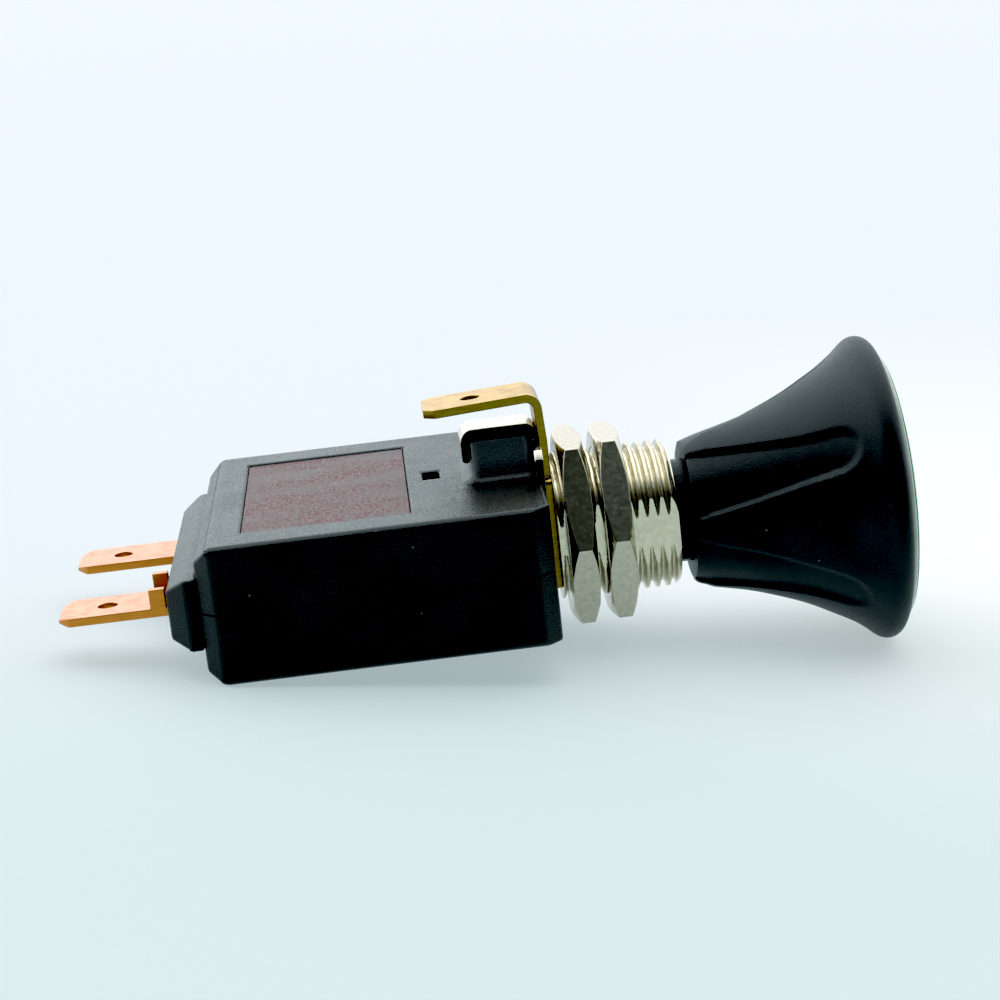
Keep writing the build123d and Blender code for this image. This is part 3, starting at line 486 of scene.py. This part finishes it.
def radial_mesh(name, stations, field, inner):
    """Closed round mesh: the outer field, then the inner rings (x, radius), joined at both ends."""
    turns = field.shape[1]
    rings = [(x, field[row]) for row, x in enumerate(stations)]
    rings += [(x, np.full(turns, radius)) for x, radius in inner]
    angles = [2 * math.pi * col / turns for col in range(turns)]
    points = []
    for x, radii in rings:
        points += [(x, -math.sin(a) * r, math.cos(a) * r) for a, r in zip(angles, radii)]
    faces = []
    for ring in range(len(rings)):
        after = (ring + 1) % len(rings)
        for col in range(turns):
            side = (col + 1) % turns
            faces.append((ring * turns + col, ring * turns + side,
                          after * turns + side, after * turns + col))
    mesh = bpy.data.meshes.new(name)
    mesh.from_pydata(points, [], faces)
    work = bmesh.new()
    work.from_mesh(mesh)
    bmesh.ops.recalc_face_normals(work, faces=work.faces)
    for face in work.faces:
        face.smooth = True
    for edge in work.edges:
        edge.smooth = edge.calc_face_angle(0.0) < SHARP_SHADING
    work.to_mesh(mesh)
    work.free()
    return mesh


KNOB_TURNS = 440
KNOB_STATIONS = 150
KNOB_INNER_RINGS = 26
KNOB_SOFT_PASSES = 3
EDGE_SKIN = 2e-6


def make_knob(materials):
    """Flared knob with soft-edged finger flutes, from the CAD knob's own surface."""
    low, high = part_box("knob")
    length = high.x - low.x
    steps = np.linspace(0.0, 1.0, KNOB_STATIONS)
    stations = low.x + EDGE_SKIN + (length - 2 * EDGE_SKIN) * np.sin(steps * math.pi / 2)
    field = soften(radial_field("knob", stations, KNOB_TURNS), KNOB_SOFT_PASSES)
    walls = np.linspace(high.x - EDGE_SKIN, low.x + EDGE_SKIN, KNOB_INNER_RINGS)
    inner = [(x, r) for x, r in zip(walls, inner_profile("knob", walls)) if not math.isnan(r)]
    mesh = radial_mesh("knob_soft", stations, field, inner)
    keep_in_box(mesh, "knob")
    return finish_piece("knob_soft", mesh, MOVING, "knob", "knob_plastic", materials)


# The thread in millimetres. THREAD_FIRST is where a crest passes +Z.
THREAD_CREST = 7.0
THREAD_ROOT = 6.39
THREAD_PITCH = 1.0
THREAD_FIRST = 4.389
THREAD_FLAT = 6.25
THREAD_REAR = -3.25
CREST_REACH = 0.86
FLANK_REACH = 0.66
LEAD_IN = 0.55
LEAD_IN_SLOPE = 0.9
BUSH_TURNS = 288
BUSH_REAR_STATIONS = 24
BUSH_INNER_RINGS = 30
BUSH_END_SKIN = 0.005
THREAD_GAP = 0.02
THREAD_STEP = 0.055


def thread_radius(x, angle, front):
    """Radius of the rolled thread with flats on its crests, in millimetres."""
    phase = (x - THREAD_FIRST - THREAD_PITCH * angle / (2 * math.pi)) / THREAD_PITCH
    away = abs(phase - round(phase)) * 2
    rise = min(max((CREST_REACH - away) / FLANK_REACH, 0.0), 1.0)
    rise = rise * rise * (3 - 2 * rise)
    radius = THREAD_ROOT + (THREAD_CREST - THREAD_ROOT) * rise
    radius = min(radius, THREAD_CREST - max(0.0, x - (front - LEAD_IN)) * LEAD_IN_SLOPE)
    lean = math.sin(angle)
    if lean > 0:
        radius = min(radius, THREAD_FLAT / lean)
    return radius


def make_bush(materials):
    """Die-cast neck with a real helical thread and its long flat."""
    low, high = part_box("threaded_bush")
    front = high.x * PER_METRE - BUSH_END_SKIN
    rear = list(np.linspace(low.x * PER_METRE + BUSH_END_SKIN, THREAD_REAR - THREAD_GAP,
                            BUSH_REAR_STATIONS))
    thread = list(np.arange(THREAD_REAR, front, THREAD_STEP)) + [front]
    stations = np.array(rear + thread) * MM
    field = radial_field("threaded_bush", stations[:len(rear)], BUSH_TURNS)
    rows = [[thread_radius(x, 2 * math.pi * col / BUSH_TURNS, front) * MM
             for col in range(BUSH_TURNS)] for x in thread]
    field = np.vstack([field, np.array(rows)])
    walls = np.linspace(front * MM, low.x + EDGE_SKIN, BUSH_INNER_RINGS)
    inner = [(x, r) for x, r in zip(walls, inner_profile("threaded_bush", walls))
             if not math.isnan(r)]
    mesh = radial_mesh("bush_threaded", stations, field, inner)
    keep_in_box(mesh, "threaded_bush")
    return finish_piece("bush_threaded", mesh, STATIC, "threaded_bush", "plated_casting", materials)


ROUNDED = {
    "housing_upper": 0.30,
    "housing_lower": 0.30,
    "terminal_block": 0.30,
    "strap_bracket": 0.12,
    "earth_tab": 0.09,
    "near_terminal": 0.09,
    "far_terminal": 0.09,
    "rear_nut": 0.09,
    "front_nut": 0.09,
}


def make_pieces(materials):
    for node, width in ROUNDED.items():
        rounded(node, width, materials)
    make_knob(materials)
    make_bush(materials)


# ---------------------------------------------------------------- stage
FLOOR_NORMAL = Vector((0.1306, 0.0, 0.9914)).normalized()
FLOOR_POINT = Vector((27.25, 0.0, -14.5)) * MM
FLOOR_HALF = 4.0
# The floor's colour and glow change along its own x and y, in millimetres: painted light falloff,
# darker towards the near end, and a painted pool of light, paler towards the right.
NEAR_FALLOFF_TINT = (0.775, 0.885, 0.885)
FAR_TINT = (0.890, 0.948, 0.990)
LIGHT_POOL_TINT = (1.04, 1.07, 1.05)
GLOW_FROM_X = -45.0
GLOW_TO_X = 30.0
GLOW_FADE_Y = (30.0, 190.0)
PAPER_SHARE = 0.38
GLOW_SHARE = 0.50
TINT_NEAR_Y = -70.0
TINT_FAR_Y = 40.0


def floor_basis():
    """Matrix from floor coordinates (across, away, up) to the row frame."""
    across = Vector((FLOOR_NORMAL.z, 0.0, -FLOOR_NORMAL.x))
    away = Vector((0.0, 1.0, 0.0))
    basis = Matrix((across, away, FLOOR_NORMAL)).transposed().to_4x4()
    return Matrix.Translation(FLOOR_POINT) @ basis


def make_floor():
    """A wide flat sheet of pale paper."""
    mesh = bpy.data.meshes.new("floor")
    half = FLOOR_HALF
    mesh.from_pydata([(-half, -half, 0), (half, -half, 0), (half, half, 0), (-half, half, 0)], [],
                     [(0, 1, 2, 3)])
    floor = bpy.data.objects.new("floor", mesh)
    floor.matrix_world = floor_basis()
    bpy.context.scene.collection.objects.link(floor)
    floor.data.materials.append(floor_look())


def floor_look():
    """Matt pale sheet that glows softly like a light table, clear when seen from below. Its colour, and
    so its glow, is painted darker towards the near end as painted light falloff, and paler towards the
    right as a painted pool of light.
    """
    look = Look("floor_look", level=0.2)
    place = look.node("ShaderNodeSeparateXYZ")
    look.link(look.coords, place.inputs["Vector"])
    away = look.node("ShaderNodeMapRange")
    away.interpolation_type = "SMOOTHSTEP"
    away.inputs["From Min"].default_value = TINT_NEAR_Y
    away.inputs["From Max"].default_value = TINT_FAR_Y
    look.link(place.outputs["Y"], away.inputs["Value"])
    # Painted light falloff: the floor's colour is darker towards the near end.
    tint = look.mix(away.outputs["Result"], NEAR_FALLOFF_TINT, FAR_TINT)
    sideways = look.node("ShaderNodeMapRange")
    sideways.interpolation_type = "SMOOTHSTEP"
    sideways.inputs["From Min"].default_value = GLOW_FROM_X
    sideways.inputs["From Max"].default_value = GLOW_TO_X
    look.link(place.outputs["X"], sideways.inputs["Value"])
    near_part = look.math("MULTIPLY", sideways.outputs["Result"], away.outputs["Result"])
    glow = look.math("MULTIPLY", near_part, look.remap(place.outputs["Y"], *GLOW_FADE_Y, 1.0, 0.0))
    # Painted pool of light: a paler glowing patch towards the right, which also lightens the shadows
    # there.
    tint = look.mix(glow, tint, LIGHT_POOL_TINT)
    paper = look.node("ShaderNodeVectorMath")
    paper.operation = "SCALE"
    paper.inputs["Scale"].default_value = PAPER_SHARE
    look.link(tint, paper.inputs[0])
    look.colour(paper.outputs["Vector"])
    look.link(tint, look.shader.inputs["Emission Color"])
    look.set("Emission Strength", GLOW_SHARE)
    look.set("Roughness", 0.9)
    out = look.tree.nodes["Material Output"]
    facing = look.node("ShaderNodeNewGeometry")
    clear = look.node("ShaderNodeBsdfTransparent")
    blend = look.node("ShaderNodeMixShader")
    look.link(facing.outputs["Backfacing"], blend.inputs["Fac"])
    look.link(look.shader.outputs["BSDF"], blend.inputs[1])
    look.link(clear.outputs["BSDF"], blend.inputs[2])
    look.link(blend.outputs["Shader"], out.inputs["Surface"])
    return look.mat


DIM = (0.075, 0.080, 0.080, 1)
BRIGHT = (1.58, 1.60, 1.64, 1)
SIDE_EDGE = (-0.10, 0.10)
SIDE_KEEP = 0.80
ROOM_LEAN = 0.45
ROOM_EDGE = (-0.35, 0.50)
OVERHEAD_EDGE = (0.35, 0.60)


def make_world():
    """Pale room: bright above and behind the object, dim on the near side, less bright to the right."""
    world = bpy.data.worlds.new("studio")
    bpy.context.scene.world = world
    world.use_nodes = True
    tree = world.node_tree
    back = tree.nodes["Background"]
    coords = tree.nodes.new("ShaderNodeTexCoord")
    split = tree.nodes.new("ShaderNodeSeparateXYZ")
    tree.links.new(coords.outputs["Generated"], split.inputs["Vector"])

    def blend(kind, one, two=0.0, three=0.0):
        step = tree.nodes.new("ShaderNodeMath")
        step.operation = kind
        for socket, value in zip(step.inputs, (one, two, three)):
            if isinstance(value, float):
                socket.default_value = value
            else:
                tree.links.new(value, socket)
        return step.outputs["Value"]

    def ramp(value, low, high, to_low=0.0, to_high=1.0):
        span = tree.nodes.new("ShaderNodeMapRange")
        span.interpolation_type = "SMOOTHSTEP"
        for socket, number in (("From Min", low), ("From Max", high),
                               ("To Min", to_low), ("To Max", to_high)):
            span.inputs[socket].default_value = number
        tree.links.new(value, span.inputs["Value"])
        return span.outputs["Result"]

    lean = blend("MULTIPLY_ADD", split.outputs["Z"], ROOM_LEAN, split.outputs["Y"])
    share = ramp(lean, *ROOM_EDGE)
    right = ramp(split.outputs["X"], *SIDE_EDGE, 1.0, SIDE_KEEP)
    overhead = ramp(split.outputs["Z"], *OVERHEAD_EDGE)
    side = blend("MAXIMUM", right, overhead)
    share = blend("MULTIPLY", share, side)
    tint = tree.nodes.new("ShaderNodeMix")
    tint.data_type = "RGBA"
    tint.inputs[6].default_value = DIM
    tint.inputs[7].default_value = BRIGHT
    tree.links.new(share, tint.inputs["Factor"])
    path = tree.nodes.new("ShaderNodeLightPath")
    seen = tree.nodes.new("ShaderNodeMix")
    seen.data_type = "RGBA"
    seen.inputs[7].default_value = (*FAR_TINT, 1)
    tree.links.new(path.outputs["Is Camera Ray"], seen.inputs["Factor"])
    tree.links.new(tint.outputs[2], seen.inputs[6])
    tree.links.new(seen.outputs[2], back.inputs["Color"])
    back.inputs["Strength"].default_value = 1.0


def sun(name, towards, strength, spread):
    """A wide soft sun that shines along this direction."""
    light = bpy.data.lights.new(name, "SUN")
    light.energy = strength
    light.angle = math.radians(spread)
    lamp = bpy.data.objects.new(name, light)
    bpy.context.scene.collection.objects.link(lamp)
    lamp.rotation_mode = "QUATERNION"
    lamp.rotation_quaternion = Vector(towards).to_track_quat("-Z", "Y")


CAMERA_AT = Vector((-17.42, -227.47, 60.08)) * MM
CAMERA_RIGHT = Vector((0.9919, -0.0675, -0.1075))
CAMERA_LOOK = Vector((0.0397, 0.9693, -0.2428))
CAMERA_LENS = 89.18
CAMERA_SENSOR = 36.0


def make_camera():
    data = bpy.data.cameras.new("camera")
    data.lens = CAMERA_LENS
    data.sensor_width = CAMERA_SENSOR
    data.sensor_fit = "HORIZONTAL"
    data.clip_start = 0.005
    data.clip_end = 50.0
    camera = bpy.data.objects.new("camera", data)
    bpy.context.scene.collection.objects.link(camera)
    look = CAMERA_LOOK.normalized()
    right = (CAMERA_RIGHT - CAMERA_RIGHT.dot(look) * look).normalized()
    up = right.cross(look)
    turn = Matrix((right, up, -look)).transposed().to_4x4()
    camera.matrix_world = Matrix.Translation(CAMERA_AT) @ turn
    bpy.context.scene.camera = camera


BLACK_LEVEL = (0.038, 0.037, 0.037)
RED_POINT = (0.18, 0.155)


def set_tone():
    """Neutral view with the blacks pulled down a little, as the picture has them."""
    view = bpy.context.scene.view_settings
    view.view_transform = "Standard"
    view.look = "None"
    view.use_curve_mapping = True
    view.curve_mapping.black_level = BLACK_LEVEL
    view.curve_mapping.curves[0].points.new(*RED_POINT)
    view.curve_mapping.update()


MATERIALS = make_materials()
dress_nodes(MATERIALS)
make_pieces(MATERIALS)
make_floor()
make_world()
sun("top_light", (0.05, -0.35, -1.0), 0.5, 80.0)
make_camera()
set_tone()
